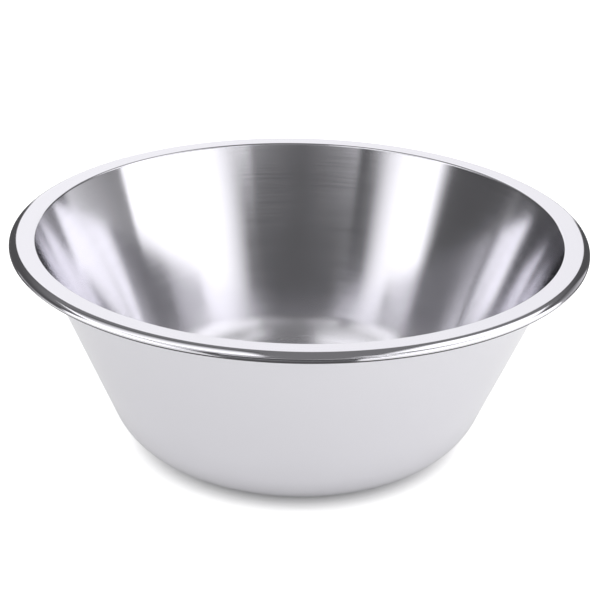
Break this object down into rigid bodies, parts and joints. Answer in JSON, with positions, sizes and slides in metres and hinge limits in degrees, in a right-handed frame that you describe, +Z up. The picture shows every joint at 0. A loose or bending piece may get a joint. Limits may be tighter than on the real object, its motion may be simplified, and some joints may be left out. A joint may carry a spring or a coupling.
{
  "type": "mixing bowl",
  "caption": "Round sheet steel mixing bowl with a flared straight wall, rounded base corner, flat base, level rim and rolled edge.",
  "frame": {"origin": "on the bowl's axis, on the underside of the base, where it stands", "axes": "+Z up along the bowl's axis, out of the mouth; +X and +Y level, and alike because the bowl is round"},
  "size_m": [0.3, 0.3, 0.116],
  "materials": {
    "steel": "satin inside, polished rim and outside"
  },
  "bodies": {
    "root": {"bowl": "steel"}
  },
  "joints": []
}
